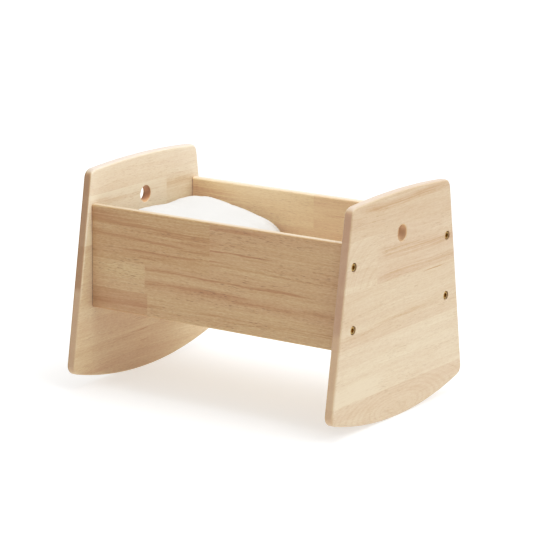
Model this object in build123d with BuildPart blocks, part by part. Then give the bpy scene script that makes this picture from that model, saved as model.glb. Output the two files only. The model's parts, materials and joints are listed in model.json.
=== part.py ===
"""Small wooden rocking cradle: two rocker end panels, two side boards, a grooved-in base,
bolts with barrel nuts, and its bedding.

Frame, in millimetres: +X runs from the head end to the foot end, +Y to the rear side, +Z up.
The origin is on the floor, midway between the panels, at the lowest line of the rockers.
"""

import os

from build123d import *

os.makedirs("parts", exist_ok=True)

# ---------------------------------------------------------------- driving dimensions, mm
# end panels
cradle_length = 396.0
panel_thickness = 12.0
panel_height = 280.0
top_corner_height = 275.0
top_half_width = 111.0
bottom_corner_height = 22.0
bottom_half_width = 150.5
corner_radius = 12.0
panel_roundover = 3.0
finger_hole_radius = 10.0
finger_hole_height = 227.5
finger_hole_roundover = 1.5

# side boards
board_outer_y = 111.5
board_thickness = 10.0
board_bottom = 101.0
board_height = 132.0
board_roundover = 3.0
board_end_chamfer = 0.8

# base board, held in a groove along each side board
base_thickness = 4.0
groove_bottom_above_board_edge = 8.0
groove_height = 4.2
groove_depth = 4.0
base_play = 0.2
base_chamfer = 0.4

# M6 bolts and barrel nuts
bolt_spacing = 76.0
shank_radius = 2.95
thread_root_radius = 2.45
thread_pitch = 1.0
thread_turns = 18
bolt_tip_chamfer = 0.5
bolt_length = 40.0
head_radius = 5.0
head_height = 6.0
head_chamfer = 0.5
socket_across_flats = 5.0
socket_depth = 3.2
counterbore_radius = 5.5
counterbore_depth = 7.0
counterbore_chamfer = 0.4
bolt_hole_radius = 3.3
bolt_hole_depth = 42.0
nut_from_board_end = 28.0
nut_radius = 5.0
nut_length = 8.0
nut_bore_radius = 3.05
nut_hole_radius = 5.1
nut_hole_depth = 9.0
nut_slot_width = 1.2
nut_slot_depth = 1.0
nut_chamfer = 0.4

# bedding
bedding_gap = 0.3
mattress_length = 364.0
mattress_width = 197.0
mattress_thickness = 26.0
mattress_roundover = 8.0
pillow_width = 194.0
pillow_head_x = -184.0
pillow_foot_x = -30.0
pillow_crest_x = -146.0
pillow_head_height = 60.0
pillow_crest_height = 76.0
pillow_shoulder_x = -66.0
pillow_shoulder_height = 52.0
pillow_foot_height = 26.0
pillow_roundover = 11.0
pillow_end_roundover = 10.0

# how closely an edge's radius or place has to agree for it to be picked out
selection_tolerance = 0.1

# ---------------------------------------------------------------- derived places
outer_x = cradle_length / 2
inner_x = outer_x - panel_thickness
board_length = 2 * inner_x
board_centre_z = board_bottom + board_height / 2
board_centre_y = board_outer_y - board_thickness / 2
board_inner_y = board_outer_y - board_thickness
groove_bottom = board_bottom + groove_bottom_above_board_edge
base_bottom = groove_bottom + (groove_height - base_thickness) / 2
base_top = base_bottom + base_thickness
head_seat_x = outer_x - counterbore_depth
nut_centre_x = inner_x - nut_from_board_end
mattress_bottom = base_top + bedding_gap
pillow_bottom = mattress_bottom + mattress_thickness + bedding_gap

ends = {"head": -1, "foot": 1}
sides = {"front": -1, "rear": 1}
levels = {"lower": -1, "upper": 1}


def save(piece, label):
    """Names a finished piece and writes its STEP file."""
    piece.part.label = label
    export_step(piece.part, f"parts/{label}.step")


# ---------------------------------------------------------------- end panels
def make_end_panel(end):
    """Rocker panel at the head (end = -1) or the foot (end = +1), counterbored from outside."""
    outer_face = Plane(origin=(end * outer_x, 0, 0), x_dir=(0, 1, 0), z_dir=(end, 0, 0))
    up = end  # the plane's own y axis points up on the foot panel and down on the head panel

    with BuildPart() as panel:
        with BuildSketch(outer_face) as outline:
            with BuildLine():
                ThreePointArc(
                    (-top_half_width, up * top_corner_height),
                    (0, up * panel_height),
                    (top_half_width, up * top_corner_height),
                )
                Line(
                    (top_half_width, up * top_corner_height),
                    (bottom_half_width, up * bottom_corner_height),
                )
                ThreePointArc(
                    (bottom_half_width, up * bottom_corner_height),
                    (0, 0),
                    (-bottom_half_width, up * bottom_corner_height),
                )
                Line(
                    (-bottom_half_width, up * bottom_corner_height),
                    (-top_half_width, up * top_corner_height),
                )
            make_face()
            fillet(outline.vertices(), corner_radius)
        extrude(amount=-panel_thickness)
        fillet(panel.faces().filter_by(Axis.X).edges(), panel_roundover)

        # round finger hole, its two rims eased
        with BuildSketch(outer_face):
            with Locations((0, up * finger_hole_height)):
                Circle(finger_hole_radius)
        extrude(amount=-panel_thickness, mode=Mode.SUBTRACT)
        rims = panel.edges().filter_by(GeomType.CIRCLE).filter_by(
            lambda rim: abs(rim.radius - finger_hole_radius) < selection_tolerance
        )
        fillet(rims, finger_hole_roundover)

        # counterbored bolt holes in line with the ends of the side boards
        with Locations(outer_face):
            with Locations((0, up * board_centre_z)):
                with GridLocations(2 * board_centre_y, bolt_spacing, 2, 2):
                    CounterBoreHole(
                        bolt_hole_radius, counterbore_radius, counterbore_depth, panel_thickness
                    )
        mouths = panel.edges().filter_by(GeomType.CIRCLE).filter_by(
            lambda rim: abs(rim.radius - counterbore_radius) < selection_tolerance
        )
        face_x = end * outer_x
        outer_mouths = mouths.filter_by_position(
            Axis.X, face_x - selection_tolerance, face_x + selection_tolerance
        )
        chamfer(outer_mouths, counterbore_chamfer)
    return panel


for end_name, end in ends.items():
    save(make_end_panel(end), f"{end_name}_panel")


# ---------------------------------------------------------------- side boards
def make_side_board(side):
    """Upright side board at the front (side = -1) or the rear (side = +1)."""
    inner_face = Plane(
        origin=(0, side * board_inner_y, board_centre_z), x_dir=(1, 0, 0), z_dir=(0, -side, 0)
    )
    with BuildPart() as board:
        with BuildSketch(inner_face):
            Rectangle(board_length, board_height)
        extrude(amount=-board_thickness)
        fillet(board.edges().filter_by(Axis.X), board_roundover)
        end_faces = board.faces().filter_by(Axis.X)
        chamfer(end_faces.edges(), board_end_chamfer)

        # groove for the base board, along the whole inner face
        with BuildSketch(Plane.YZ.offset(-inner_x)):
            with Locations((side * board_inner_y, groove_bottom + groove_height / 2)):
                Rectangle(2 * groove_depth, groove_height)
        extrude(amount=board_length, mode=Mode.SUBTRACT)

        for end in ends.values():
            end_face = Plane(
                origin=(end * inner_x, side * board_centre_y, board_centre_z),
                x_dir=(0, 1, 0),
                z_dir=(end, 0, 0),
            )
            # bolt holes in the end grain
            with BuildSketch(end_face):
                with Locations((0, -bolt_spacing / 2), (0, bolt_spacing / 2)):
                    Circle(bolt_hole_radius)
            extrude(amount=-bolt_hole_depth, mode=Mode.SUBTRACT)

        # blind cross holes for the barrel nuts, bored from the inner face
        with BuildSketch(inner_face):
            with GridLocations(2 * nut_centre_x, bolt_spacing, 2, 2):
                Circle(nut_hole_radius)
        extrude(amount=-nut_hole_depth, mode=Mode.SUBTRACT)
    return board


for side_name, side in sides.items():
    save(make_side_board(side), f"{side_name}_side_board")


# ---------------------------------------------------------------- base board
base_width = 2 * (board_inner_y + groove_depth - base_play)

with BuildPart() as base_board:
    with BuildSketch(Plane.XY.offset(base_bottom)):
        Rectangle(board_length - 2 * base_play, base_width)
    extrude(amount=base_thickness)
    chamfer(base_board.edges().filter_by(Axis.Z, reverse=True), base_chamfer)
save(base_board, "base_board")


# ---------------------------------------------------------------- bolts and barrel nuts
def make_bolt(end, side, level):
    """Socket-head bolt, seated in a panel's counterbore and reaching into a side board."""
    seat = Plane(
        origin=(
            end * head_seat_x,
            side * board_centre_y,
            board_centre_z + level * bolt_spacing / 2,
        ),
        x_dir=(0, 1, 0),
        z_dir=(end, 0, 0),
    )
    # half profile of the shank: smooth neck, thread grooves, tip
    thread_start = -bolt_length + bolt_tip_chamfer + thread_turns * thread_pitch
    shank = [(0, 0), (shank_radius, 0), (shank_radius, thread_start)]
    for turn in range(thread_turns):
        crest = thread_start - turn * thread_pitch
        shank.append((thread_root_radius, crest - thread_pitch / 2))
        shank.append((shank_radius, crest - thread_pitch))
    shank.append((shank_radius - bolt_tip_chamfer, -bolt_length))
    shank.append((0, -bolt_length))

    with BuildPart() as bolt:
        with BuildSketch(seat):
            Circle(head_radius)
        extrude(amount=head_height)
        crown = bolt.faces().sort_by(Axis.X)[-1 if end > 0 else 0]
        chamfer(crown.edges(), head_chamfer)
        with BuildSketch(seat.offset(head_height)):
            RegularPolygon(socket_across_flats / 2, 6, major_radius=False)
        extrude(amount=-socket_depth, mode=Mode.SUBTRACT)
        side_section = Plane(origin=seat.origin, x_dir=seat.x_dir, z_dir=(0, 0, -end))
        with BuildSketch(side_section):
            with BuildLine():
                Polyline(shank, close=True)
            make_face()
        revolve(axis=Axis(seat.origin, seat.z_dir))
    return bolt


def make_barrel_nut(end, side, level):
    """Cross nut in a side board, slotted on the face that shows inside the cradle."""
    inner_end = side * (board_inner_y + (board_thickness - nut_length) / 2)
    centre_z = board_centre_z + level * bolt_spacing / 2
    slot_face = Plane(
        origin=(end * nut_centre_x, inner_end, centre_z), x_dir=(1, 0, 0), z_dir=(0, -side, 0)
    )
    across = Plane(
        origin=(end * nut_centre_x, side * board_centre_y, centre_z),
        x_dir=(0, 1, 0),
        z_dir=(1, 0, 0),
    )
    with BuildPart() as nut:
        with BuildSketch(slot_face):
            Circle(nut_radius)
        extrude(amount=-nut_length)
        chamfer(nut.edges(), nut_chamfer)
        with BuildSketch(slot_face):
            Rectangle(2 * nut_radius, nut_slot_width)
        extrude(amount=-nut_slot_depth, mode=Mode.SUBTRACT)
        with BuildSketch(across):
            Circle(nut_bore_radius)
        extrude(amount=nut_radius, both=True, mode=Mode.SUBTRACT)
    return nut


for end_name, end in ends.items():
    for side_name, side in sides.items():
        for level_name, level in levels.items():
            place = f"{end_name}_{side_name}_{level_name}"
            save(make_bolt(end, side, level), f"bolt_{place}")
            save(make_barrel_nut(end, side, level), f"barrel_nut_{place}")


# ---------------------------------------------------------------- bedding
with BuildPart() as mattress:
    with BuildSketch(Plane.XY.offset(mattress_bottom)):
        Rectangle(mattress_length, mattress_width)
    extrude(amount=mattress_thickness)
    fillet(mattress.edges(), mattress_roundover)
save(mattress, "mattress")

# thick towards the head panel, sloping down to the foot
with BuildPart() as pillow:
    with BuildSketch(Plane.XZ.offset(-pillow_width / 2)):
        with BuildLine():
            Polyline(
                (pillow_head_x, pillow_bottom),
                (pillow_foot_x, pillow_bottom),
                (pillow_foot_x, pillow_bottom + pillow_foot_height),
                (pillow_shoulder_x, pillow_bottom + pillow_shoulder_height),
                (pillow_crest_x, pillow_bottom + pillow_crest_height),
                (pillow_head_x, pillow_bottom + pillow_head_height),
                close=True,
            )
        make_face()
    extrude(amount=pillow_width)
    fillet(pillow.edges().filter_by(Axis.Y), pillow_roundover)
    fillet(pillow.faces().filter_by(Axis.Y).edges(), pillow_end_roundover)
save(pillow, "pillow")
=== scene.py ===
"""Looks of a small wooden rocking cradle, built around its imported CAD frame.

Metres, in the frame's own axes: +X from the head end to the foot end, +Y to the rear side, +Z up.
The wood, plywood and metal nodes keep their CAD shapes and get procedural materials.
The mattress and the pillow are made here, by cloth simulation, in the places of their CAD solids.
"""

import json
import math

import bpy
import numpy as np
from mathutils import Matrix, Vector
from mathutils.bvhtree import BVHTree


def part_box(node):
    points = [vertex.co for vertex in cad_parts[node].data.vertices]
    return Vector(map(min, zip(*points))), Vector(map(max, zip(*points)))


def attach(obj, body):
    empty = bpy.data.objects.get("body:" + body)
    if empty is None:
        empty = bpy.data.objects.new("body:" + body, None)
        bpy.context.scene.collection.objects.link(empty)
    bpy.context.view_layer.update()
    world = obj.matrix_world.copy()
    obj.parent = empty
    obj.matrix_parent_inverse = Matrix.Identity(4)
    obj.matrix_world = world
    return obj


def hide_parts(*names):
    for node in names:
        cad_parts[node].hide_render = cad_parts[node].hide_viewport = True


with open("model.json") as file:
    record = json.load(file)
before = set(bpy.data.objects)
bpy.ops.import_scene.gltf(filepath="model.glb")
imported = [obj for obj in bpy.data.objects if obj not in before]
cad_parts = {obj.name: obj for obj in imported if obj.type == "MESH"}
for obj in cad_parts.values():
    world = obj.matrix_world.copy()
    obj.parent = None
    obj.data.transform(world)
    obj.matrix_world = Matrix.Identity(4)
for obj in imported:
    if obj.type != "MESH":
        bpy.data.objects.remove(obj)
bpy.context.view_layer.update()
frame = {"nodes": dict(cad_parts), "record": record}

scene = bpy.context.scene

# ---- camera
# Long lens, turned a third of the way from the front to the foot end, a little above the rails.
CAMERA_AZIMUTH = math.radians(34.28)
CAMERA_ELEVATION = math.radians(13.358)
CAMERA_ROLL = math.radians(0.476)
CAMERA_DISTANCE = 3.2975
CAMERA_LENS = 179.13
SENSOR_WIDTH = 36.0
NEAREST = 0.1
FARTHEST = 100.0
AIM_ABOVE_FLOOR = 0.1581
AIM_TO_RIGHT = 0.0013


def make_camera():
    """The camera, looking at a point near the middle of the cradle."""
    data = bpy.data.cameras.new("camera")
    data.sensor_width = SENSOR_WIDTH
    data.lens = CAMERA_LENS
    data.clip_start = NEAREST
    data.clip_end = FARTHEST
    camera = bpy.data.objects.new("camera", data)
    scene.collection.objects.link(camera)

    level = math.cos(CAMERA_ELEVATION)
    back = Vector(
        (
            math.sin(CAMERA_AZIMUTH) * level,
            -math.cos(CAMERA_AZIMUTH) * level,
            math.sin(CAMERA_ELEVATION),
        )
    )
    right = Vector((math.cos(CAMERA_AZIMUTH), math.sin(CAMERA_AZIMUTH), 0))
    up = back.cross(right)
    turned_right = right * math.cos(CAMERA_ROLL) + up * math.sin(CAMERA_ROLL)
    turned_up = up * math.cos(CAMERA_ROLL) - right * math.sin(CAMERA_ROLL)
    aim = Vector((0, 0, AIM_ABOVE_FLOOR)) + right * AIM_TO_RIGHT
    axes = Matrix((turned_right, turned_up, back)).transposed().to_4x4()
    camera.matrix_world = Matrix.Translation(aim + back * CAMERA_DISTANCE) @ axes
    scene.camera = camera


make_camera()


# ---- node trees
class Tree:
    """Short calls for building nodes. Values are numbers, colours or output sockets."""

    def __init__(self, owner):
        owner.use_nodes = True
        self.nodes = owner.node_tree.nodes
        self.links = owner.node_tree.links
        self.nodes.clear()

    def add(self, kind, inputs=None, **settings):
        """A new shader node with its inputs and settings."""
        node = self.nodes.new("ShaderNode" + kind)
        for name, value in settings.items():
            setattr(node, name, value)
        for key, value in (inputs or {}).items():
            self.feed(node.inputs[key], value)
        return node

    def feed(self, socket, value):
        """Links an output socket to an input, or sets the input's own value."""
        if isinstance(value, bpy.types.NodeSocket):
            self.links.new(value, socket)
        else:
            socket.default_value = value

    def math(self, operation, *values, clamp=False):
        """The result of a Math node."""
        node = self.add("Math", operation=operation, use_clamp=clamp)
        for socket, value in zip(node.inputs, values):
            self.feed(socket, value)
        return node.outputs[0]

    def vector(self, operation, *values):
        """The result of a Vector Math node."""
        node = self.add("VectorMath", operation=operation)
        for socket, value in zip(node.inputs, values):
            self.feed(socket, value)
        return node.outputs["Value" if operation in ("LENGTH", "DOT_PRODUCT") else "Vector"]

    def split(self, vector):
        """The x, y and z of a vector."""
        return self.add("SeparateXYZ", {0: vector}).outputs

    def join(self, x, y, z):
        """A vector made of x, y and z."""
        return self.add("CombineXYZ", {0: x, 1: y, 2: z}).outputs[0]

    def step(self, value, low, high, start=0.0, end=1.0):
        """Goes smoothly from start to end as value goes from low to high."""
        node = self.add(
            "MapRange",
            {"Value": value, "From Min": low, "From Max": high, "To Min": start, "To Max": end},
            interpolation_type="SMOOTHSTEP",
        )
        return node.outputs["Result"]

    def noise(self, vector, scale, detail=2.0, roughness=0.5):
        """Smooth noise from 0 to 1."""
        node = self.add(
            "TexNoise",
            {"Vector": vector, "Scale": scale, "Detail": detail, "Roughness": roughness},
        )
        return node.outputs["Fac"]

    def layer(self, place, layer):
        """A noise layer given as (cells per metre on each axis, detail, roughness)."""
        cells, detail, roughness = layer
        return self.noise(self.vector("MULTIPLY", place, cells), 1.0, detail, roughness)

    def times(self, a, b):
        """The product of two values."""
        return self.math("MULTIPLY", a, b)

    def plus(self, a, b):
        """The sum of two values."""
        return self.math("ADD", a, b)

    def mix(self, factor, a, b, blend="MIX"):
        """The colour a, going to b as factor goes from 0 to 1."""
        node = self.add("Mix", data_type="RGBA", blend_type=blend, clamp_factor=True)
        colours = [s for s in node.inputs if s.type == "RGBA"]
        self.feed(node.inputs[0], factor)
        self.feed(colours[0], a)
        self.feed(colours[1], b)
        return next(s for s in node.outputs if s.type == "RGBA")

    def mix_vector(self, factor, a, b):
        """The vector a, going to b as factor goes from 0 to 1."""
        node = self.add("Mix", data_type="VECTOR", clamp_factor=True)
        vectors = [s for s in node.inputs if s.type == "VECTOR" and "Factor" not in s.name]
        self.feed(node.inputs[0], factor)
        self.feed(vectors[0], a)
        self.feed(vectors[1], b)
        return next(s for s in node.outputs if s.type == "VECTOR")

    def surface(self, face, rough, relief, strength, depth, more=None):
        """Makes the material's surface, with a fine relief and more shader inputs."""
        bump = self.add("Bump", {"Strength": strength, "Distance": depth, "Height": relief})
        inputs = {"Base Color": face, "Roughness": rough, "Normal": bump.outputs[0]}
        shader = self.add("BsdfPrincipled", {**inputs, **(more or {})})
        self.add("OutputMaterial", {"Surface": shader.outputs[0]})


def colour(r, g, b):
    """A linear colour from 0-255 display values."""
    linear = [((v / 255 + 0.055) / 1.055) ** 2.4 for v in (r, g, b)]
    return (*linear, 1.0)


# ---- light, floor and backdrop
FLOOR_HALF_SIZE = 30.0
FLOOR_GLOW = 0.47
FLOOR_WHITE = (0.62, 0.62, 0.615, 1)
SKY_SHOWN = 1.15
SKY_LIGHT = 0.26
BACKDROP_LIGHT = 1.0
BACKDROP_DIRECTION = (-0.56, 0.80, 0.12)
BACKDROP_FADES = (0.25, 0.85)  # cosines at which the backdrop starts to show and is full
WHITE = (1, 1, 1, 1)


def mesh_object(name, points, faces):
    """A mesh object in the scene, made from points and faces."""
    mesh = bpy.data.meshes.new(name)
    corners = [tuple(point) for point in points]
    mesh.from_pydata(corners, [], [tuple(int(i) for i in face) for face in faces])
    made = bpy.data.objects.new(name, mesh)
    scene.collection.objects.link(made)
    return made


def soft_sun(name, towards, strength, angle):
    """Even light from a disc of sky in the direction towards, angle degrees wide."""
    data = bpy.data.lights.new(name, "SUN")
    data.energy = strength
    data.angle = math.radians(angle)
    light = bpy.data.objects.new(name, data)
    scene.collection.objects.link(light)
    light.rotation_euler = Vector(towards).to_track_quat("Z", "Y").to_euler()


def soft_box(name, place, size, watts):
    """A small softbox that hangs over the cradle, facing down."""
    data = bpy.data.lights.new(name, "AREA")
    data.shape = "SQUARE"
    data.size = size
    data.energy = watts
    light = bpy.data.objects.new(name, data)
    scene.collection.objects.link(light)
    light.location = place


def make_floor():
    """A softly lit white sweep table."""
    s = FLOOR_HALF_SIZE
    corners = [(-s, -s, 0), (s, -s, 0), (s, s, 0), (-s, s, 0)]
    floor = mesh_object("floor", corners, [(0, 1, 2, 3)])
    material = bpy.data.materials.new("floor_white")
    tree = Tree(material)
    shader = tree.add(
        "BsdfPrincipled",
        {
            "Base Color": FLOOR_WHITE,
            "Roughness": 0.9,
            "Specular IOR Level": 0.0,
            "Emission Color": WHITE,
            "Emission Strength": FLOOR_GLOW,
        },
    )
    tree.add("OutputMaterial", {"Surface": shader.outputs[0]})
    floor.data.materials.append(material)


def make_sky():
    """A white surround, brighter behind the cradle, shown plain white."""
    world = bpy.data.worlds.new("studio")
    scene.world = world
    tree = Tree(world)
    direction = tree.add("TexCoord").outputs["Generated"]
    backwards = Vector(BACKDROP_DIRECTION).normalized()
    behind = tree.vector("DOT_PRODUCT", direction, tuple(backwards))
    strength = tree.step(behind, *BACKDROP_FADES, SKY_LIGHT, BACKDROP_LIGHT)
    lit = tree.add("Background", {"Color": WHITE, "Strength": strength})
    shown = tree.add("Background", {"Color": WHITE, "Strength": SKY_SHOWN})
    seen = tree.add("LightPath").outputs["Is Camera Ray"]
    either = tree.add("MixShader", {0: seen, 1: lit.outputs[0], 2: shown.outputs[0]})
    tree.add("OutputWorld", {"Surface": either.outputs[0]})


make_floor()
make_sky()
soft_sun("key", towards=(0.30, 0.32, 1.0), strength=1.75, angle=70)
soft_sun("side", towards=(1.0, 0.1, 0.6), strength=0.62, angle=60)
soft_sun("fill", towards=(0.0, -0.8, 1.0), strength=0.30, angle=70)
soft_box("top", place=(0.08, -0.01, 0.85), size=0.3, watts=2.2)

# a gentle film curve, so that shade is richer and light wood is paler
FILM_CURVE = [(0.25, 0.20), (0.5, 0.5), (0.75, 0.78)]
ALL_CHANNELS = 3
view_settings = scene.view_settings
view_settings.view_transform = "Standard"
view_settings.use_curve_mapping = True
for film_point in FILM_CURVE:
    view_settings.curve_mapping.curves[ALL_CHANNELS].points.new(*film_point)
view_settings.curve_mapping.update()


# ---- wood
def lamella(start, tone, pink, seed, pith_across=0.9, pith_behind=0.25, lean=0.0):
    """One lamella of a board: where it starts along the grain, how dark and how pink it is.

    Its pith lies pith_across up the board and pith_behind its middle, and leans to the face.
    """
    return {
        "start": start,
        "look": (tone, pink, seed, 1.0),
        "pith": (pith_across, pith_behind, lean),
    }


PALE = colour(232, 211, 176)
TAN = colour(196, 159, 115)
PINK = colour(201, 157, 131)
PORE = colour(140, 98, 66)
# painted highlights on faces that look up: bright on the front board, dimmer on the other boards
TOP_HIGHLIGHT_BRIGHT = colour(214, 198, 180)
TOP_HIGHLIGHT_DIM = colour(196, 172, 152)
TAN_ENDS = colour(196, 162, 126)
BROWN_ENDS = colour(166, 124, 82)
CREAM_ENDS = colour(222, 188, 152)
PINK_ENDS = colour(204, 168, 136)
# painted light on the walls of the finger holes, which lie in shade
FOOT_HOLE_LIGHT = colour(232, 199, 157)
HEAD_HOLE_LIGHT = colour(206, 160, 116)

X, Y, Z = 0, 1, 2
LEFT = -1.0  # beyond every board's edge
LOWEST = -1.0
AT_JOINT = 0.0008  # a band sets in at a glue joint, or slowly along the grain
SLOWLY = 0.040
STREAK_FADE = 0.045
STREAK_PINK = 0.5
SEED_SHIFT = 37.0

# noise layers, drawn out along the grain: cells per metre on each axis, detail, roughness
WANDER = ((6.0, 14.0, 14.0), 1.0, 0.5)
CURL = ((22.0, 30.0, 30.0), 2.0, 0.5)
BROAD = ((3.0, 60.0, 45.0), 4.0, 0.5)
STRANDS = ((8.0, 560.0, 560.0), 2.0, 0.6)
FINE = ((26.0, 430.0, 430.0), 3.0, 0.65)
FLECKS = ((210.0, 800.0, 800.0), 2.0, 0.6)
PORES = ((110.0, 1250.0, 1250.0), 1.0, 0.5)
DASHES = ((48.0, 560.0, 560.0), 1.0, 0.5)
PATCHES = ((8.0, 45.0, 45.0), 1.0, 0.5)
WANDER_REACH = 0.010
CURL_REACH = 0.006

# noise levels between which each kind of mark sets in
PATCH_LEVELS = (0.38, 0.62)
PORE_LEVELS = (0.60, 0.72)
DASH_LEVELS = (0.66, 0.76)
STREAK_LEVELS = (0.36, 0.60)

# how much each layer darkens the wood, before a board's own contrast
STRONG = 0.85
QUIET = 0.6
DARKENING = {"broad": 0.50, "strands": 0.50, "fine": 0.70, "flecks": 0.95}
RINGS_DARKEN = 0.35
WAVES_DARKEN = 0.22
DASHES_DARKEN = 0.28
PORES_DARKEN = 0.66
BROAD_PINK = 0.9

RING_SPACING = 0.0135
RING_STRETCH = 1.5
RING_CELLS = 260.0
RING_WOBBLE = 8.0

ENDS_CHANGE = 0.127  # height at which the end grain changes colour
ENDS_BLEND = 0.010
FACES_END = (0.55, 0.92)  # how squarely a face must look along the grain, or up to take the painted highlight
HIGHLIGHT_FACING_UP = (0.55, 0.95)
ENDS_COVER = 0.72
TOP_HIGHLIGHT_COVER = 0.6
HOLE_LIGHT_COVER = 0.9
WALL_BLEND = (0.0012, 0.0004)
SKIN = 0.002


def lamella_at(tree, rows, along, across):
    """Tone, pink, seed, pith_across, pith_behind and lean of the lamella that each point is in."""
    look = rows[0][1][0]["look"]
    pith = rows[0][1][0]["pith"]
    for low, blocks in rows:
        above = tree.math("GREATER_THAN", across, low)
        for block in blocks:
            here = above
            if block["start"] > LEFT:
                here = tree.times(above, tree.math("GREATER_THAN", along, block["start"]))
            look = tree.mix(here, look, block["look"])
            pith = tree.mix_vector(here, pith, block["pith"])
    tone, pink, seed = tree.add("SeparateColor", {0: look}).outputs[:3]
    return (tone, pink, seed, *tree.split(pith)[:3])


def wavy_grain(tree, along, across, through, seed):
    """Grain coordinates, shifted for each lamella, with a slow wander.

    Gives the shift, the height after the wander and after a finer curl, and the coordinates.
    """
    shift = tree.times(seed, SEED_SHIFT)
    shifted = tree.plus(along, shift)
    straight = tree.join(shifted, tree.plus(across, shift), through)
    wander = tree.layer(straight, WANDER)
    wander = tree.math("MULTIPLY_ADD", wander, WANDER_REACH, -WANDER_REACH / 2)
    curl = tree.layer(straight, CURL)
    curl = tree.math("MULTIPLY_ADD", curl, CURL_REACH, tree.plus(wander, -CURL_REACH / 2))
    wandering = tree.plus(across, wander)
    wavy = tree.join(shifted, tree.plus(wandering, shift), through)
    return shift, wandering, tree.plus(across, curl), wavy


def growth_rings(tree, along, through, from_pith, pith_behind, lean, shift):
    """How dark the growth rings are, which show as arches where the pith leans."""
    behind = tree.plus(tree.plus(through, pith_behind), tree.times(along, lean))
    radius = tree.vector("LENGTH", tree.join(from_pith, behind, 0.0))
    ring_at = tree.join(tree.times(along, RING_STRETCH), tree.times(radius, RING_CELLS), shift)
    rings = tree.noise(ring_at, 1.0, 2.0, 0.6)
    dark = tree.math("MULTIPLY_ADD", rings, RINGS_DARKEN, -RINGS_DARKEN / 2)
    tilt = tree.math("ABSOLUTE", lean)
    turns = tree.math("DIVIDE", tree.times(radius, 2 * math.pi / RING_SPACING), tilt)
    wave = tree.math("SINE", tree.math("MULTIPLY_ADD", rings, RING_WOBBLE, turns))
    wave = tree.times(tree.step(wave, -0.2, 1.0), tree.step(tilt, 0.0, 0.3))
    return tree.math("MULTIPLY_ADD", wave, WAVES_DARKEN, dark)


def streak_and_shade_level(tree, band, along, height, uneven):
    """How dark a band is, for mineral streaks and painted shade alike: along its line, from its
    start to its end.
    """
    start, sets_in, end, at, half, slope, strength = band
    off = tree.math("SUBTRACT", height, tree.math("MULTIPLY_ADD", along, slope, at))
    level = tree.step(tree.math("ABSOLUTE", off), half, 0.0)
    begun = tree.step(along, start, start + sets_in)
    not_over = tree.step(along, end, end - STREAK_FADE)
    return tree.times(tree.times(tree.times(level, tree.times(begun, not_over)), uneven), strength)


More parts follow.
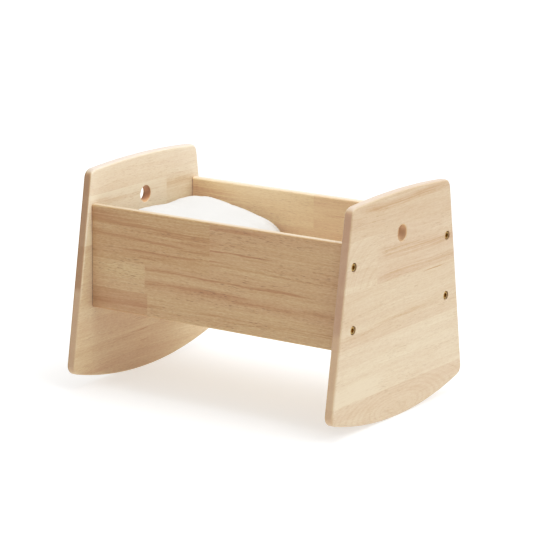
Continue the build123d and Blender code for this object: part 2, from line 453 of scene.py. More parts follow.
def wood(name, axes, rows, streaks_and_shade, tints, ends, figure=QUIET, top_highlight=TOP_HIGHLIGHT_DIM, bore=None):
    """Lacquered rubberwood glued up from lamellas.

    axes: which axes run along the grain, across the rows and through the board.
    streaks_and_shade: mineral streaks and bands of painted shade, each (start, length over which
    it sets in, end, height, half thickness, slope, strength).
    half thickness, slope, strength).
    tints: the colours of the inner and the outer face, and the depth between them; a brighter inner
    colour is painted light.
    ends: the end grain's colours below and above ENDS_CHANGE.
    figure: the contrast of the grain.
    top_highlight: the colour of the painted highlight on faces that look up.
    bore: the record's mount for a hole through the board, and the colour of the painted light on
    the hole's wall, which lies in shade.
    """
    material = bpy.data.materials.new(name)
    tree = Tree(material)
    place = tree.add("TexCoord")
    axis = tree.split(place.outputs["Object"])
    normal = tree.split(place.outputs["Normal"])
    along, across, through = (axis[i] for i in axes)
    tone, pink, seed, pith_across, pith_behind, lean = lamella_at(tree, rows, along, across)
    shift, wandering, curling, wavy = wavy_grain(tree, along, across, through, seed)

    # broad bands, fine streaks, short flecks and open pores
    broad = tree.layer(wavy, BROAD)
    strands = tree.layer(wavy, STRANDS)
    fine = tree.layer(wavy, FINE)
    flecks = tree.layer(wavy, FLECKS)
    patches = tree.step(tree.layer(wavy, PATCHES), *PATCH_LEVELS)
    pores = tree.step(tree.layer(wavy, PORES), *PORE_LEVELS)
    pores = tree.times(pores, tree.math("MULTIPLY_ADD", patches, 0.7, 0.3))
    dashes = tree.times(tree.step(tree.layer(wavy, DASHES), *DASH_LEVELS), patches)

    # how dark and how pink: lamella, bands, rings, streaks and painted shade added up
    from_pith = tree.math("SUBTRACT", wandering, pith_across)
    dark = growth_rings(tree, along, through, from_pith, pith_behind, lean, shift)
    layers = {"broad": broad, "strands": strands, "fine": fine, "flecks": flecks}
    for layer, strength in DARKENING.items():
        dark = tree.plus(dark, tree.math("MULTIPLY_ADD", layers[layer], strength, -strength / 2))
    dark = tree.math("MULTIPLY_ADD", dark, figure, tone)
    rosy = tree.plus(pink, tree.math("MULTIPLY_ADD", broad, BROAD_PINK, -BROAD_PINK / 2))
    uneven = tree.math("MULTIPLY_ADD", tree.step(strands, *STREAK_LEVELS), 1.5, 0.25)
    for band in streaks_and_shade:
        level = streak_and_shade_level(tree, band, along, curling, uneven)
        dark = tree.plus(dark, level)
        rosy = tree.plus(rosy, tree.times(level, STREAK_PINK))
    body = tree.mix(tree.math("ADD", dark, 0.0, clamp=True), PALE, TAN)
    body = tree.mix(tree.math("MULTIPLY", rosy, 0.5, clamp=True), body, PINK)
    body = tree.mix(tree.times(dashes, DASHES_DARKEN * figure**2), body, PORE)
    body = tree.mix(tree.times(pores, PORES_DARKEN * figure**2), body, PORE)

    # end grain is darker, because it soaks up more lacquer; faces that look up get a painted
    # highlight, paler than the wood
    end_grain = tree.step(tree.math("ABSOLUTE", normal[axes[0]]), *FACES_END)
    higher = tree.step(across, ENDS_CHANGE - ENDS_BLEND / 2, ENDS_CHANGE + ENDS_BLEND / 2)
    body = tree.mix(tree.times(end_grain, ENDS_COVER), body, tree.mix(higher, *ends))
    top_highlight_mask = tree.step(normal[Z], *HIGHLIGHT_FACING_UP)
    body = tree.mix(tree.times(top_highlight_mask, TOP_HIGHLIGHT_COVER), body, top_highlight)
    # painted light: the shaded wall of the finger hole is painted lighter than the wood
    if bore:
        mount, hole_light = bore
        above_hole = tree.math("SUBTRACT", across, mount["pos_m"][axes[1]])
        from_hole = tree.vector("LENGTH", tree.join(along, above_hole, 0.0))
        radius = mount["dims"]["r_mm"] / 1000
        hole_light_mask = tree.step(from_hole, radius + WALL_BLEND[0], radius + WALL_BLEND[1])
        body = tree.mix(tree.times(hole_light_mask, HOLE_LIGHT_COVER), body, hole_light)
    # where the inner tint is brighter than the outer one, it is painted light on the inner face
    inner, outer, depth = tints
    outside = tree.step(tree.math("ABSOLUTE", through), depth - SKIN, depth)
    body = tree.mix(1.0, body, tree.mix(outside, inner, outer), blend="MULTIPLY")

    rough = tree.math("MULTIPLY_ADD", fine, 0.14, 0.36)
    relief = tree.math("MULTIPLY_ADD", pores, -0.8, tree.times(fine, 0.5))
    tree.surface(body, rough, relief, 0.22, 0.0003, {"IOR": 1.45})
    return material


# lamellas, streaks and painted shade of the four boards, laid out as wood() takes them
FRONT_ROWS = [
    (LOWEST, [lamella(LEFT, 0.67, 0.50, 0.11), lamella(-0.100, 0.48, 0.18, 0.23)]),
    (0.130, [lamella(LEFT, 0.40, 0.20, 0.37), lamella(-0.104, 0.53, 0.32, 0.41)]),
    (0.167, [lamella(LEFT, 0.66, 0.12, 0.59), lamella(-0.006, 0.52, 0.35, 0.67)]),
]
FRONT_STREAKS = [
    (LEFT, AT_JOINT, 0.020, 0.208, 0.012, -0.07, 0.30),
    (LEFT, AT_JOINT, 0.020, 0.192, 0.003, -0.05, 0.25),
    (-0.125, SLOWLY, -0.080, 0.174, 0.0012, 0.0, 0.9),
    (-0.150, SLOWLY, 0.030, 0.184, 0.0016, 0.02, 0.3),
    (-0.006, AT_JOINT, 0.100, 0.197, 0.0014, 0.0, 0.7),
    (-0.006, AT_JOINT, 0.090, 0.225, 0.005, 0.0, 0.25),
    (-0.006, AT_JOINT, 0.220, 0.181, 0.006, 0.0, 0.22),
    (-0.104, AT_JOINT, 0.150, 0.162, 0.0026, 0.0, 0.45),
    (-0.104, AT_JOINT, 0.070, 0.146, 0.007, 0.0, 0.24),
    (0.010, SLOWLY, 0.200, 0.138, 0.004, 0.03, 0.2),
    (-0.040, SLOWLY, 0.220, 0.116, 0.005, 0.0, 0.2),
    (LEFT, AT_JOINT, -0.060, 0.115, 0.004, 0.0, 0.25),
]
REAR_ROWS = [
    (LOWEST, [lamella(LEFT, 0.21, 0.2, 0.71), lamella(0.060, 0.18, 0.3, 0.17)]),
    (0.142, [lamella(LEFT, 0.14, 0.1, 0.29), lamella(-0.080, 0.20, 0.3, 0.31)]),
    (0.188, [lamella(LEFT, 0.08, 0.1, 0.83), lamella(0.004, 0.11, 0.35, 0.47)]),
]
REAR_STREAKS_AND_SHADE = [
    # painted shade, not a streak: darker at the rear board's left end, in the corner by the pillow
    # and the head panel
    (LEFT, AT_JOINT, -0.100, 0.215, 0.016, 0.0, 0.15),
    (0.000, SLOWLY, 0.170, 0.209, 0.002, 0.0, 0.4),
]
FOOT_ROWS = [
    (LOWEST, [lamella(LEFT, 0.15, 0.30, 0.13, 0.014, -0.1965, 0.26)]),
    (0.040, [lamella(LEFT, 0.12, 0.1, 0.19)]),
    (0.108, [lamella(LEFT, 0.25, 0.15, 0.43)]),
    (
        0.1745,
        [
            lamella(LEFT, 0.18, 0.15, 0.53, 0.168, -0.160, 0.85),
            lamella(-0.055, 0.24, 0.35, 0.61),
        ],
    ),
    (0.236, [lamella(LEFT, 0.33, 0.25, 0.73)]),
]
FOOT_STREAKS = [
    (-0.100, SLOWLY, 0.110, 0.268, 0.008, 0.0, 0.24),
    (-0.055, 0.025, 0.150, 0.208, 0.012, -0.03, 0.20),
    (-0.055, 0.025, 0.150, 0.184, 0.014, -0.04, 0.16),
    (LEFT, AT_JOINT, -0.030, 0.053, 0.016, 0.0, -0.25),
    (0.040, SLOWLY, 0.110, 0.167, 0.0010, 0.05, 0.9),
    (-0.140, SLOWLY, 0.140, 0.125, 0.006, 0.02, 0.15),
]
# the upper lamellas' pale tones are partly the wood's own and partly painted light, bounced from
# the pillow onto the panel above the boards
HEAD_ROWS = [
    (LOWEST, [lamella(LEFT, 0.58, -0.2, 0.91)]),
    (0.052, [lamella(LEFT, 0.49, -0.2, 0.07), lamella(0.030, 0.47, -0.2, 0.27)]),
    (0.118, [lamella(LEFT, 0.36, 0.1, 0.33)]),
    (0.181, [lamella(LEFT, 0.0, 0.2, 0.49), lamella(0.045, 0.18, 0.15, 0.63)]),
    (0.243, [lamella(LEFT, 0.16, 0.25, 0.79)]),
]
HEAD_STREAKS = [
    (-0.120, SLOWLY, 0.130, 0.234, 0.006, 0.0, 0.14),
    (-0.090, SLOWLY, 0.150, 0.052, 0.0015, 0.08, 0.2),
    (-0.013, 0.003, 0.034, 0.036, 0.002, 0.0, 0.25),
]


def dress(names, material):
    """Gives CAD nodes one material."""
    for name in names:
        mesh_materials = frame["nodes"][name].data.materials
        mesh_materials.clear()
        mesh_materials.append(material)


ALONG_BOARD = (X, Z, Y)
ALONG_PANEL = (Y, Z, X)
BOARD_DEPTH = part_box("rear_side_board")[1].y - SKIN
PANEL_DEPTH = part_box("foot_panel")[1].x - SKIN
BOARD_TINT = (0.885, 0.895, 0.89, 1)
# painted light: the rear board's inner face, lit by the bedding, is tinted brighter than its outer
# face
REAR_INSIDE_LIGHT = (1.20, 1.21, 1.29, 1)
BOARD_TINT_BEHIND = (0.80, 0.80, 0.87, 1)
PANEL_TINT = (0.870, 0.905, 1.01, 1)
# painted light: the head panel's inner face, lit by the pillow, is tinted paler than its outer face
HEAD_INSIDE_LIGHT = (1.0, 1.09, 1.28, 1)
mounts = {mount["name"]: mount for mount in frame["record"]["mounts"]}
front_wood = wood(
    "front_board_wood",
    ALONG_BOARD,
    FRONT_ROWS,
    FRONT_STREAKS,
    tints=(BOARD_TINT, BOARD_TINT, BOARD_DEPTH),
    ends=(TAN_ENDS, TAN_ENDS),
    figure=STRONG,
    top_highlight=TOP_HIGHLIGHT_BRIGHT,
)
dress(["front_side_board"], front_wood)
rear_wood = wood(
    "rear_board_wood",
    ALONG_BOARD,
    REAR_ROWS,
    REAR_STREAKS_AND_SHADE,
    tints=(REAR_INSIDE_LIGHT, BOARD_TINT_BEHIND, BOARD_DEPTH),
    ends=(TAN_ENDS, TAN_ENDS),
)
dress(["rear_side_board"], rear_wood)
foot_wood = wood(
    "foot_panel_wood",
    ALONG_PANEL,
    FOOT_ROWS,
    FOOT_STREAKS,
    tints=(PANEL_TINT, PANEL_TINT, PANEL_DEPTH),
    ends=(CREAM_ENDS, PINK_ENDS),
    bore=(mounts["finger_hole_foot"], FOOT_HOLE_LIGHT),
)
dress(["foot_panel"], foot_wood)
head_wood = wood(
    "head_panel_wood",
    ALONG_PANEL,
    HEAD_ROWS,
    HEAD_STREAKS,
    tints=(HEAD_INSIDE_LIGHT, PANEL_TINT, PANEL_DEPTH),
    ends=(TAN_ENDS, BROWN_ENDS),
    bore=(mounts["finger_hole_head"], HEAD_HOLE_LIGHT),
)
dress(["head_panel"], head_wood)


# ---- metals and plywood
BOLT_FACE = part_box("bolt_foot_front_lower")[1].x
BOLT_ROW_Y = sum(c.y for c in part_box("bolt_foot_rear_lower")) / 2
BOLT_LOW_Z = sum(c.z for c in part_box("bolt_foot_rear_lower")) / 2
BOLT_HIGH_Z = sum(c.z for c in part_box("bolt_foot_rear_upper")) / 2
SOCKET_REACH = 0.0030
BRASS = colour(190, 167, 104)
BRASS_TARNISH = colour(124, 98, 52)
# painted light inside the bolts' sockets, which lie in shade
SOCKET_PAINTED_LIGHT = colour(226, 188, 116)
ZINC = colour(176, 180, 184)
ZINC_DULL = colour(132, 136, 142)
ZINC_WORN = colour(205, 208, 210)
TURNED_RINGS = 9000.0
TARNISH_CELLS = 900.0
SPANGLE_CELLS = 1400.0
CLOUD_CELLS = 700.0
METAL = {"Metallic": 1.0}


def brass():
    """Brass-plated steel: turned rings on the head's face, and painted light inside the shaded
    socket.
    """
    material = bpy.data.materials.new("brass_plated_steel")
    tree = Tree(material)
    place = tree.add("TexCoord").outputs["Object"]
    x, y, z = tree.split(place)
    # distance from the axis of the nearest bolt, the four rows being mirror images
    side = tree.math("SUBTRACT", tree.math("ABSOLUTE", y), BOLT_ROW_Y)
    middle = (BOLT_LOW_Z + BOLT_HIGH_Z) / 2
    level = tree.math("ABSOLUTE", tree.math("SUBTRACT", z, middle))
    level = tree.math("SUBTRACT", level, (BOLT_HIGH_Z - BOLT_LOW_Z) / 2)
    radius = tree.vector("LENGTH", tree.join(side, level, 0.0))
    depth = tree.math("SUBTRACT", BOLT_FACE, tree.math("ABSOLUTE", x))
    inside = tree.step(radius, SOCKET_REACH + 0.0001, SOCKET_REACH - 0.0002)
    socket_light_mask = tree.times(inside, tree.step(depth, 0.0002, 0.0014))
    tarnish = tree.noise(place, TARNISH_CELLS, 3.0)
    turned = tree.noise(tree.join(tree.times(radius, TURNED_RINGS), 0.0, 0.0), 1.0, 1.0)
    face = tree.mix(tarnish, BRASS, BRASS_TARNISH)
    # painted light: the shaded socket is painted brighter than the head's face
    face = tree.mix(tree.times(socket_light_mask, 0.7), face, SOCKET_PAINTED_LIGHT)
    rough = tree.math("MULTIPLY_ADD", tarnish, 0.2, 0.12)
    tree.surface(face, rough, turned, 0.25, 0.0001, METAL)
    return material


def zinc():
    """Zinc-plated steel with a faint spangle and bright worn spots."""
    material = bpy.data.materials.new("zinc_plated_steel")
    tree = Tree(material)
    place = tree.add("TexCoord").outputs["Object"]
    cells = tree.add("TexVoronoi", {"Vector": place, "Scale": SPANGLE_CELLS})
    spangle = cells.outputs["Distance"]
    cloud = tree.noise(place, CLOUD_CELLS, 3.0)
    face = tree.mix(cloud, ZINC, ZINC_DULL)
    face = tree.mix(tree.times(spangle, 0.4), face, ZINC_WORN)
    rough = tree.math("MULTIPLY_ADD", cloud, 0.25, 0.28)
    tree.surface(face, rough, spangle, 0.15, 0.0001, METAL)
    return material


VENEER = colour(236, 219, 190)
VENEER_FIGURE = colour(206, 176, 136)
VENEER_GRAIN = colour(188, 154, 114)
CORE = colour(204, 172, 130)
CORE_GRAIN = colour(166, 130, 92)
GLUE = colour(112, 82, 56)
VENEER_WANDER = ((4.0, 14.0, 14.0), 2.0, 0.5)
VENEER_BANDS = ((5.0, 110.0, 40.0), 3.0, 0.5)
VENEER_FINE = ((30.0, 900.0, 300.0), 2.0, 0.5)
CORE_FINE = ((900.0, 40.0, 900.0), 2.0, 0.5)
HALF_PLY = 1 / 6
GLUE_LINE = 0.025


def plywood():
    """Birch plywood: pale veneer on both faces, three plies on the edges."""
    low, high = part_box("base_board")
    thickness = high.z - low.z
    material = bpy.data.materials.new("base_plywood")
    tree = Tree(material)
    coordinates = tree.add("TexCoord")
    place = coordinates.outputs["Object"]
    height = tree.math("SUBTRACT", tree.split(place)[Z], low.z)
    off_middle = tree.math("SUBTRACT", tree.math("DIVIDE", height, thickness), 0.5)
    off_middle = tree.math("ABSOLUTE", off_middle)
    core = tree.math("COMPARE", off_middle, 0.0, HALF_PLY)
    glue = tree.math("COMPARE", off_middle, HALF_PLY, GLUE_LINE)
    wander = tree.layer(place, VENEER_WANDER)
    bent = tree.vector("ADD", place, tree.join(0.0, tree.times(wander, 0.03), 0.0))
    figure = tree.layer(bent, VENEER_BANDS)
    fine = tree.layer(bent, VENEER_FINE)
    cross = tree.layer(place, CORE_FINE)
    veneer = tree.mix(figure, VENEER, VENEER_FIGURE)
    veneer = tree.mix(tree.times(fine, 0.35), veneer, VENEER_GRAIN)
    inner = tree.mix(cross, CORE, CORE_GRAIN)
    facing_up = tree.math("ABSOLUTE", tree.split(coordinates.outputs["Normal"])[Z])
    on_edge = tree.step(facing_up, 0.75, 0.35)
    body = tree.mix(tree.times(on_edge, core), veneer, inner)
    body = tree.mix(tree.times(on_edge, glue), body, GLUE)
    rough = tree.math("MULTIPLY_ADD", fine, 0.15, 0.5)
    tree.surface(body, rough, fine, 0.2, 0.0002)
    return material


dress([name for name in frame["nodes"] if name.startswith("bolt_")], brass())
dress([name for name in frame["nodes"] if name.startswith("barrel_nut_")], zinc())
dress(["base_board"], plywood())


# ---- fabric
WARP_SLUBS = ((40.0, 1100.0, 300.0), 2.0, 0.5)
WEFT_SLUBS = ((1100.0, 40.0, 300.0), 2.0, 0.5)
COTTON_CLOUD_CELLS = 30.0
COTTON_SHEEN = {"Sheen Weight": 0.25, "Sheen Roughness": 0.5, "Specular IOR Level": 0.2}
DRAPE = 0.7  # carries the weave down the sides
PILLOW_WHITE = colour(207, 206, 204)
PILLOW_SHADE = colour(196, 195, 191)
PILLOW_THREADS = 2300.0
MATTRESS_WHITE = colour(208, 206, 200)
MATTRESS_SHADE = colour(190, 187, 180)
MATTRESS_THREADS = 1500.0


def cotton(name, light, shade, threads):
    """White plain-weave cotton: fine warp and weft, slubs and a little soft unevenness.

    threads is the number of thread pairs per metre.
    """
    material = bpy.data.materials.new(name)
    tree = Tree(material)
    place = tree.add("TexCoord").outputs["Object"]
    x, y, z = tree.split(place)
    turn = 2 * math.pi * threads
    drape = tree.times(z, DRAPE)
    warp = tree.math("SINE", tree.times(tree.plus(x, drape), turn))
    weft = tree.math("SINE", tree.times(tree.plus(y, drape), turn))
    weave = tree.math("MULTIPLY_ADD", tree.times(warp, weft), 0.5, 0.5)
    slubs = tree.math("MAXIMUM", tree.layer(place, WARP_SLUBS), tree.layer(place, WEFT_SLUBS))
    cloud = tree.noise(place, COTTON_CLOUD_CELLS, 3.0)
    body = tree.mix(tree.times(cloud, 0.7), light, shade)
    body = tree.mix(tree.step(slubs, 0.62, 0.8, 0.0, 0.35), body, shade)
    body = tree.mix(tree.times(weave, 0.12), body, shade)
    relief = tree.math("MULTIPLY_ADD", slubs, 0.8, tree.times(weave, 0.5))
    rough = tree.math("MULTIPLY_ADD", slubs, 0.15, 0.8)
    tree.surface(body, rough, relief, 0.35, 0.0002, COTTON_SHEEN)
    return material


def evaluated_mesh(item):
    """An object's mesh after its modifiers, and the places of its points."""
    mesh = item.evaluated_get(bpy.context.evaluated_depsgraph_get()).data
    places = np.zeros(len(mesh.vertices) * 3)
    mesh.vertices.foreach_get("co", places)
    return mesh, places.reshape(-1, 3)


def discard(item):
    """Removes a helper object and its mesh."""
    mesh = item.data
    bpy.data.objects.remove(item)
    bpy.data.meshes.remove(mesh)


def cloth_piece(name, points, faces, material, body):
    """A smooth-shaded piece of cloth that rides on a body and takes the given cotton material."""
    piece = mesh_object(name, points, faces)
    piece.data.polygons.foreach_set("use_smooth", [True] * len(piece.data.polygons))
    piece.data.materials.append(material)
    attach(piece, body)
    return piece


def halved(points, faces):
    """The points and faces of a mesh after one smooth subdivision."""
    cage = mesh_object("halving", points, faces)
    modifier = cage.modifiers.new("halving", "SUBSURF")
    modifier.levels = 1
    mesh, finer_points = evaluated_mesh(cage)
    finer_faces = [tuple(polygon.vertices) for polygon in mesh.polygons]
    discard(cage)
    return finer_points, finer_faces


def evenly_along(path, step, *others):
    """A closed path, and others beside it, resampled at even steps along the path."""
    closed = np.vstack([path, path[:1]])
    run = np.concatenate([[0], np.cumsum(np.linalg.norm(np.diff(closed, axis=0), axis=1))])
    at = np.linspace(0, run[-1], int(run[-1] / step), endpoint=False)
    taken = []
    for line in (path, *others):
        line = np.vstack([line, line[:1]])
        taken.append(np.stack([np.interp(at, run, line[:, i]) for i in range(3)], axis=1))
    return taken


UP = (0.0, 0.0, 1.0)


def cord(path, thickness, sides, closed):
    """Points and faces of a round cord along a path that is nowhere upright.

    A closed cord is a loop, an open one tapers to half its thickness at its ends.
    """
    if closed:
        ahead = np.roll(path, -1, axis=0) - np.roll(path, 1, axis=0)
    else:
        ahead = np.gradient(path, axis=0)
    ahead /= np.linalg.norm(ahead, axis=1, keepdims=True)
    side = np.cross(ahead, UP)
    side /= np.linalg.norm(side, axis=1, keepdims=True)
    lift = np.cross(side, ahead)
    turn = np.linspace(0, 2 * math.pi, sides, endpoint=False)[None, :, None]
    ring = np.cos(turn) * side[:, None, :] + np.sin(turn) * lift[:, None, :]
    radius = np.full(len(path), thickness / 2)
    if not closed:
        radius[[0, -1]] /= 2
    points = (path[:, None, :] + radius[:, None, None] * ring).reshape(-1, 3)
    faces = []
    for i in range(len(path) if closed else len(path) - 1):
        j = (i + 1) % len(path)
        for k in range(sides):
            m = (k + 1) % sides
            faces.append((i * sides + k, j * sides + k, j * sides + m, i * sides + m))
    if not closed:
        faces.append(tuple(range(sides)))
        faces.append(tuple((len(path) - 1) * sides + k for k in reversed(range(sides))))
    return points, faces


def merged(parts):
    """Several (points, faces) as one."""
    points = []
    faces = []
    start = 0
    for more_points, more_faces in parts:
        points.append(more_points)
        faces += [tuple(i + start for i in face) for face in more_faces]
        start += len(more_points)
    return np.concatenate(points), faces


STITCH_LENGTH = 0.0026
STITCH_GAP = 0.0009
THREAD = 0.0006
STITCH_POINTS = 5
THREAD_SIDES = 6
THREAD_LIFT = 0.45  # shares of the thread's thickness
THREAD_DIP = 0.5


def stitches(surface, outward):
    """Threads along a closed line on a cloth, each dipping into the cloth at both ends."""
    pitch = STITCH_LENGTH + STITCH_GAP
    spans = STITCH_POINTS - 1
    step = STITCH_LENGTH / spans
    under, out = evenly_along(surface, step, outward)
    over = under + out * THREAD * THREAD_LIFT
    made = []
    for number in range(int(len(under) * step / pitch)):
        first = int(number * pitch / step)
        picked = np.arange(first, first + STITCH_POINTS) % len(under)
        path = over[picked]
        ends = picked[[0, -1]]
        path[[0, -1]] = under[ends] - out[ends] * THREAD * THREAD_DIP
        made.append(cord(path, THREAD, THREAD_SIDES, closed=False))
    return merged(made)


CLOTH_STEPS = 6
CLOTH_POINT_MASS = 0.05
CLOTH_AIR_DAMPING = 3.0
CLOTH_TENSION = 15.0
CLOTH_SHEAR = 5.0


def inflate(points, faces, pressure, frames, bending, held=(), slack=0.0):
    """Where the points of a closed cloth go when the cloth solver blows it up.

    A seam keeps the held points in place, and the cloth is cut longer by the share slack.
    """
    bag = mesh_object("inflating", points, faces)
    modifier = bag.modifiers.new("cloth", "CLOTH")
    settings = modifier.settings
    settings.quality = CLOTH_STEPS
    settings.mass = CLOTH_POINT_MASS
    settings.air_damping = CLOTH_AIR_DAMPING
    settings.tension_stiffness = CLOTH_TENSION
    settings.compression_stiffness = CLOTH_TENSION
    settings.shear_stiffness = CLOTH_SHEAR
    settings.bending_stiffness = bending
    settings.use_pressure = True
    settings.uniform_pressure_force = pressure
    settings.effector_weights.gravity = 0.0
    settings.shrink_min = -slack
    if len(held):
        seam = bag.vertex_groups.new(name="seam")
        seam.add([int(i) for i in held], 1.0, "REPLACE")
        settings.vertex_group_mass = seam.name
    modifier.collision_settings.use_collision = False
    modifier.collision_settings.use_self_collision = False
    modifier.point_cache.frame_start = 1
    modifier.point_cache.frame_end = frames
    for step in range(1, frames + 1):
        scene.frame_set(step)
    _, blown = evaluated_mesh(bag)
    scene.frame_set(1)
    discard(bag)
    return blown


# ---- pillow
PILLOW_HALF_LENGTH = 0.0730
PILLOW_HALF_WIDTH = 0.0965
PILLOW_CENTRE_X = -0.0972
PILLOW_SEAM_HEIGHT = 0.1663
PILLOW_SLOPE = -0.207
PILLOW_LOFT = 0.0435
PILLOW_CROWN = 0.052
PILLOW_UNDERSIDE = 0.034
FRONT_RISE = 0.0011
DIMPLE = 0.0027
DIMPLE_PLACE = (-0.75, 0.05)
DIMPLE_REACH = (0.4, 0.25)
BOXINESS = 6.1
ROUNDNESS = 0.37
CORNER_POWER = 9.0
PROFILE_POINTS = 6001
PILLOW_COLUMNS = 73
PILLOW_ROWS = 97
REST_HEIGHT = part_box("pillow")[0].z
CLEAR_OF_REST = 0.0004
WRINKLES_CLEAR = 0.0003
FLOOR_SOFTNESS = 0.0015

BAG_LENGTH = 0.205
BAG_WIDTH = 0.262
BAG_COLUMNS = 57
BAG_ROWS = 73
BAG_GAP = 0.004
BAG_PRESSURE = 8.0
BAG_FRAMES = 26
BAG_BENDING = 0.3
PUCKER_LENGTH = 0.019
PUCKER_HEIGHT = 0.0012
PUCKER_FADE = 0.03
PUCKER_DRIFT = 40
SEAM_MARGIN = 0.004
CALM_ROUNDS = 40
WRINKLE_EASE = 0.012
DEEPEST_WRINKLE = 0.0025


def evenly(count, rise):
    """Places from -1 to 1 across a bulging profile, evenly spaced along its curve."""
    # finer towards the edge, where the profile is steepest
    place = 1 - (1 - np.linspace(0, 1, PROFILE_POINTS)) ** 3
    height = rise * (1 - place**BOXINESS) ** ROUNDNESS
    run = np.concatenate([[0], np.cumsum(np.hypot(np.diff(place), np.diff(height)))])
    half = np.interp(np.linspace(0, run[-1], count // 2 + 1), run, place)
    return np.concatenate([-half[:0:-1], half])


def soft_floor(height, floor, softness):
    """Keeps heights above a floor, easing into it."""
    return floor + softness * np.logaddexp(0, (height - floor) / softness)


def two_sheets(columns, rows):
    """Point numbers of two grids sewn together along their edge, and the faces of both."""
    top = np.arange(columns * rows).reshape(columns, rows)
    bottom = np.full_like(top, -1)
    inner = (columns - 2) * (rows - 2)
    bottom[1:-1, 1:-1] = top.size + np.arange(inner).reshape(columns - 2, rows - 2)
    edge = bottom < 0
    bottom[edge] = top[edge]
    faces = []
    for i in range(columns - 1):
        for j in range(rows - 1):
            faces.append((top[i, j], top[i + 1, j], top[i + 1, j + 1], top[i, j + 1]))
            faces.append((bottom[i, j], bottom[i, j + 1], bottom[i + 1, j + 1], bottom[i + 1, j]))
    return top, bottom, faces


def on_sheets(top, bottom, upper, lower):
    """One array of points from the upper and the lower sheet's grids."""
    points = np.zeros((max(top.max(), bottom.max()) + 1, 3))
    points[bottom.ravel()] = lower.reshape(-1, 3)
    points[top.ravel()] = upper.reshape(-1, 3)
    return points


def smoothed(grid, rounds):
    """A grid of points smoothed over its neighbours, its edge kept."""
    out = grid.copy()
    for _ in range(rounds):
        middle = out[1:-1, 1:-1]
        around = out[:-2, 1:-1] + out[2:, 1:-1] + out[1:-1, :-2] + out[1:-1, 2:]
        out[1:-1, 1:-1] = 0.5 * middle + 0.125 * around
    return out


def normals_of(grid):
    """Unit normals of a grid of points."""
    along = np.gradient(grid, axis=0)
    across = np.gradient(grid, axis=1)
    normal = np.cross(along, across)
    return normal / np.maximum(np.linalg.norm(normal, axis=2, keepdims=True), 1e-12)


def resampled(field, columns, rows):
    """A grid of heights taken again on a grid of another size."""
    for count in (columns, rows):
        old = np.linspace(0, 1, len(field))
        new = np.linspace(0, 1, count)
        field = np.stack([np.interp(new, old, line) for line in field.T])
    return field


def bag_wrinkles():
    """Wrinkle heights on the two sheets of a flat sewn bag, blown up.

    The sheets start with a faint ripple along their seam, as gathered cloth has,
    and the solver turns it into puckers that run in from the seam.
    """
    top, bottom, faces = two_sheets(BAG_COLUMNS, BAG_ROWS)
    flat_u = np.linspace(-0.5, 0.5, BAG_COLUMNS) * BAG_LENGTH
    flat_v = np.linspace(-0.5, 0.5, BAG_ROWS) * BAG_WIDTH
    flat_x, flat_y = np.meshgrid(flat_u, flat_v, indexing="ij")
    middle = np.cos(flat_x / BAG_LENGTH * math.pi) * np.cos(flat_y / BAG_WIDTH * math.pi)
    from_end = BAG_LENGTH / 2 - np.abs(flat_x)
    from_side = BAG_WIDTH / 2 - np.abs(flat_y)
    from_seam = np.minimum(from_end, from_side)
    beside = np.where(from_end < from_side, flat_y, flat_x)
    wave = np.sin(2 * math.pi * beside / PUCKER_LENGTH + 3 * np.sin(beside * PUCKER_DRIFT))
    fade = np.exp(-from_seam / PUCKER_FADE) * np.clip(from_seam / SEAM_MARGIN, 0, 1)
    ripple = PUCKER_HEIGHT * fade * wave
    gap = BAG_GAP * middle
    upper = np.stack([flat_x, flat_y, gap + ripple], axis=2)
    lower = np.stack([flat_x, flat_y, -gap + 0.8 * ripple], axis=2)
    flat_bag = on_sheets(top, bottom, upper, lower)
    blown = inflate(flat_bag, faces, BAG_PRESSURE, BAG_FRAMES, BAG_BENDING)
    ease = np.minimum(from_seam / WRINKLE_EASE, 1.0)
    heights = []
    for sheet, side in ((top, 1), (bottom, -1)):
        calm = smoothed(blown[sheet], CALM_ROUNDS)
        height = ((blown[sheet] - calm) * normals_of(calm)).sum(2) * side
        heights.append(DEEPEST_WRINKLE * np.tanh(height / DEEPEST_WRINKLE) * ease)
    return heights


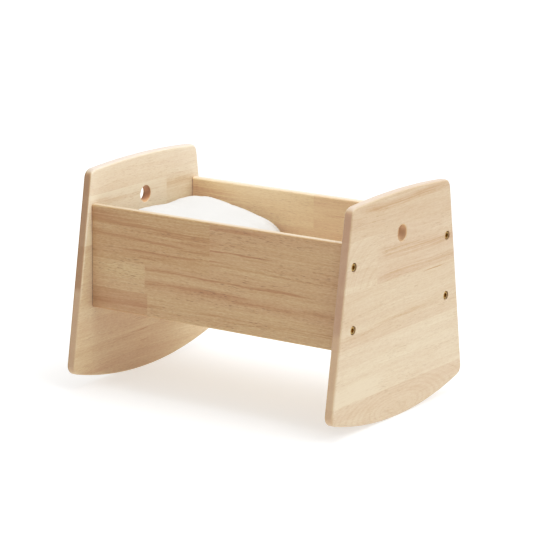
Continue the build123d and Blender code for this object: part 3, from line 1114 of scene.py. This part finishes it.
def make_pillow():
    """A plump pillow of two sewn sheets, pressed between the boards and propped on the head end."""
    u = evenly(PILLOW_COLUMNS, PILLOW_LOFT / PILLOW_HALF_LENGTH)
    v = evenly(PILLOW_ROWS, PILLOW_LOFT / PILLOW_HALF_WIDTH)
    u, v = np.meshgrid(u, v, indexing="ij")
    bulge = ((1 - np.abs(u) ** BOXINESS) * (1 - np.abs(v) ** BOXINESS)) ** ROUNDNESS

    # the plan is a rectangle with rounded corners
    reach = np.maximum(np.abs(u), np.abs(v))
    corner = (np.abs(u) ** CORNER_POWER + np.abs(v) ** CORNER_POWER) ** (1 / CORNER_POWER)
    pull = np.where(corner > 0, reach / np.maximum(corner, 1e-9), 1)
    x = PILLOW_CENTRE_X + PILLOW_HALF_LENGTH * u * pull
    y = PILLOW_HALF_WIDTH * v * pull
    seam = PILLOW_SEAM_HEIGHT + PILLOW_SLOPE * (x - PILLOW_CENTRE_X)

    # the upper sheet is crowned, a touch higher in front and dimpled near the head end
    crowned = bulge * (1 + PILLOW_CROWN * (1 - u**2))
    dimple_u = (u - DIMPLE_PLACE[0]) / DIMPLE_REACH[0]
    dimple_v = (v - DIMPLE_PLACE[1]) / DIMPLE_REACH[1]
    dimple = DIMPLE * np.exp(-(dimple_u**2) - dimple_v**2)
    rise = FRONT_RISE * (1 - v) / 2 * bulge
    upper = np.stack([x, y, seam + PILLOW_LOFT * crowned + rise - dimple * bulge], axis=2)

    # the lower sheet lies on the mattress
    hanging = seam - PILLOW_UNDERSIDE * bulge
    under = soft_floor(hanging, REST_HEIGHT + CLEAR_OF_REST, FLOOR_SOFTNESS)
    under[[0, -1], :] = seam[[0, -1], :]
    under[:, [0, -1]] = seam[:, [0, -1]]
    lower = np.stack([x, y, under], axis=2)

    top, bottom, faces = two_sheets(PILLOW_COLUMNS, PILLOW_ROWS)
    wrinkles = bag_wrinkles()
    for heights, grid, side in zip(wrinkles, (upper, lower), (1, -1)):
        level = resampled(heights, PILLOW_COLUMNS, PILLOW_ROWS)[:, :, None]
        grid += side * level * normals_of(grid)
    lower[:, :, 2] = np.maximum(lower[:, :, 2], REST_HEIGHT + WRINKLES_CLEAR)
    lower[[0, -1], :] = upper[[0, -1], :]
    lower[:, [0, -1]] = upper[:, [0, -1]]
    return on_sheets(top, bottom, upper, lower), faces, upper


def rim(grid, inset):
    """The closed line of grid points that runs inset points in from the edge."""
    inner = grid[inset : len(grid) - inset, inset : len(grid[0]) - inset]
    return np.concatenate([inner[0, :-1], inner[:-1, -1], inner[-1, :0:-1], inner[:0:-1, 0]])


SEAM_CORD = 0.0013
SEAM_CORD_SIDES = 8
SEAM_CORD_STEP = 0.0025
STITCHES_INSET = 3
pillow_cotton = cotton("pillow_cotton", PILLOW_WHITE, PILLOW_SHADE, PILLOW_THREADS)
pillow_points, pillow_faces, pillow_upper = make_pillow()
pillow = cloth_piece("pillow_cushion", pillow_points, pillow_faces, pillow_cotton, "pillow")
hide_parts("pillow")
seam_line = evenly_along(rim(pillow_upper, 0), SEAM_CORD_STEP)[0]
seam_points, seam_faces = cord(seam_line, SEAM_CORD, SEAM_CORD_SIDES, closed=True)
cloth_piece("pillow_seam", seam_points, seam_faces, pillow_cotton, "pillow")
stitch_line = rim(pillow_upper, STITCHES_INSET)
stitch_out = rim(normals_of(pillow_upper), STITCHES_INSET)
stitch_points, stitch_faces = stitches(stitch_line, stitch_out)
cloth_piece("pillow_stitches", stitch_points, stitch_faces, pillow_cotton, "pillow")

# ---- mattress
MATTRESS_CELLS = (72, 40, 5)
MATTRESS_CORNER = 0.014
CORNER_POINTS = 13
PIPING = 0.0032
PIPING_SIDES = 10
PIPING_STEP = 0.003
TOP_PUFF = 0.0034
SIDE_PUFF = 0.0016
STITCHES_IN = 0.0045
BELOW_TOP = 0.0002
MATTRESS_PRESSURE = 5.0
MATTRESS_FRAMES = 22
MATTRESS_BENDING = 0.25
MATTRESS_SLACK = 0.03


def box_shell(cells):
    """Faces over the surface of a block of cells, and the place of each point in the block."""
    places = []
    numbers = {}
    faces = []

    def number(place):
        if place not in numbers:
            numbers[place] = len(places)
            places.append(place)
        return numbers[place]

    for axis in range(3):
        u, v = (axis + 1) % 3, (axis + 2) % 3
        for end in (0, cells[axis]):
            for i in range(cells[u]):
                for j in range(cells[v]):
                    square = []
                    for di, dj in ((0, 0), (1, 0), (1, 1), (0, 1)):
                        place = [0, 0, 0]
                        place[axis] = end
                        place[u] = i + di
                        place[v] = j + dj
                        square.append(number(tuple(place)))
                    faces.append(square if end else square[::-1])
    return np.array(places, float), faces


def with_round_corners(flat, half):
    """Plan points of a rectangle, its corner squares drawn in to quarter circles."""
    straight = half - MATTRESS_CORNER
    corner = np.abs(flat) - straight
    both = (corner > 0).all(axis=1)
    inner = corner[both]
    inner *= (inner.max(axis=1) / np.hypot(inner[:, 0], inner[:, 1]))[:, None]
    rounded = flat.copy()
    rounded[both] = np.sign(flat[both]) * (straight + inner)
    return rounded


def round_rectangle(half, inset, height):
    """A closed line around the mattress, inset from its seam."""
    radius = MATTRESS_CORNER - inset
    line = []
    for quarter, (sx, sy) in enumerate(((1, 1), (-1, 1), (-1, -1), (1, -1))):
        for angle in np.linspace(quarter * 90, quarter * 90 + 90, CORNER_POINTS):
            turn = math.radians(angle)
            x = sx * (half[0] - MATTRESS_CORNER) + radius * math.cos(turn)
            y = sy * (half[1] - MATTRESS_CORNER) + radius * math.sin(turn)
            line.append((x, y, height))
    return np.array(line)


def make_mattress():
    """A flat boxed cushion, puffed between its seams."""
    low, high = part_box("mattress")
    places, faces = box_shell(MATTRESS_CELLS)
    share = places / np.array(MATTRESS_CELLS)
    centre = np.array([low.x + high.x, low.y + high.y]) / 2
    half = np.array([high.x - low.x, high.y - low.y]) / 2 - SIDE_PUFF
    flat = with_round_corners((share[:, :2] * 2 - 1) * half, half)
    seam_low = low.z + PIPING / 2
    seam_high = high.z - TOP_PUFF
    level = seam_low + share[:, 2] * (seam_high - seam_low)
    base = np.column_stack([flat + centre, level])
    outermost = (share == 0) | (share == 1)
    held = np.nonzero(outermost[:, :2].any(axis=1) & outermost[:, 2])[0]
    puffed = inflate(
        base,
        faces,
        MATTRESS_PRESSURE,
        MATTRESS_FRAMES,
        MATTRESS_BENDING,
        held,
        MATTRESS_SLACK,
    )

    # however hard it is blown up, it stays inside its box
    moved = puffed - base
    limit = np.array([SIDE_PUFF, SIDE_PUFF, TOP_PUFF])
    puffed = base + limit * np.tanh(moved / limit)
    puffed[:, 2] = np.clip(puffed[:, 2], low.z, high.z - BELOW_TOP)
    points, faces = halved(puffed, faces)
    points[:, 2] = np.clip(points[:, 2], low.z, high.z - BELOW_TOP)
    return points, faces, half, (seam_low, seam_high)


def on_cloth(line, points, faces):
    """Points of a line dropped on a cloth, and the cloth's normals there."""
    tree = BVHTree.FromPolygons([tuple(p) for p in points], faces)
    landed = []
    outward = []
    for x, y, z in line:
        hit, normal, _, _ = tree.ray_cast(Vector((x, y, z)), Vector((0, 0, -1)))
        landed.append(tuple(hit))
        outward.append(tuple(normal))
    return np.array(landed), np.array(outward)


mattress_cotton = cotton("mattress_cotton", MATTRESS_WHITE, MATTRESS_SHADE, MATTRESS_THREADS)
mattress_points, mattress_faces, mattress_half, mattress_seams = make_mattress()
mattress = cloth_piece(
    "mattress_cushion", mattress_points, mattress_faces, mattress_cotton, "mattress"
)
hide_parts("mattress")
piping_parts = []
for seam_height in mattress_seams:
    seam_edge = round_rectangle(mattress_half, 0.0, seam_height)
    seam_edge = evenly_along(seam_edge, PIPING_STEP)[0]
    piping_parts.append(cord(seam_edge, PIPING, PIPING_SIDES, closed=True))
piping_points, piping_faces = merged(piping_parts)
cloth_piece("mattress_piping", piping_points, piping_faces, mattress_cotton, "mattress")
above_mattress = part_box("mattress")[1].z + 0.01
stitch_line = round_rectangle(mattress_half, STITCHES_IN, above_mattress)
stitch_line = evenly_along(stitch_line, STITCH_LENGTH / (STITCH_POINTS - 1))[0]
stitch_line, stitch_out = on_cloth(stitch_line, mattress_points, mattress_faces)
stitch_points, stitch_faces = stitches(stitch_line, stitch_out)
cloth_piece("mattress_stitches", stitch_points, stitch_faces, mattress_cotton, "mattress")
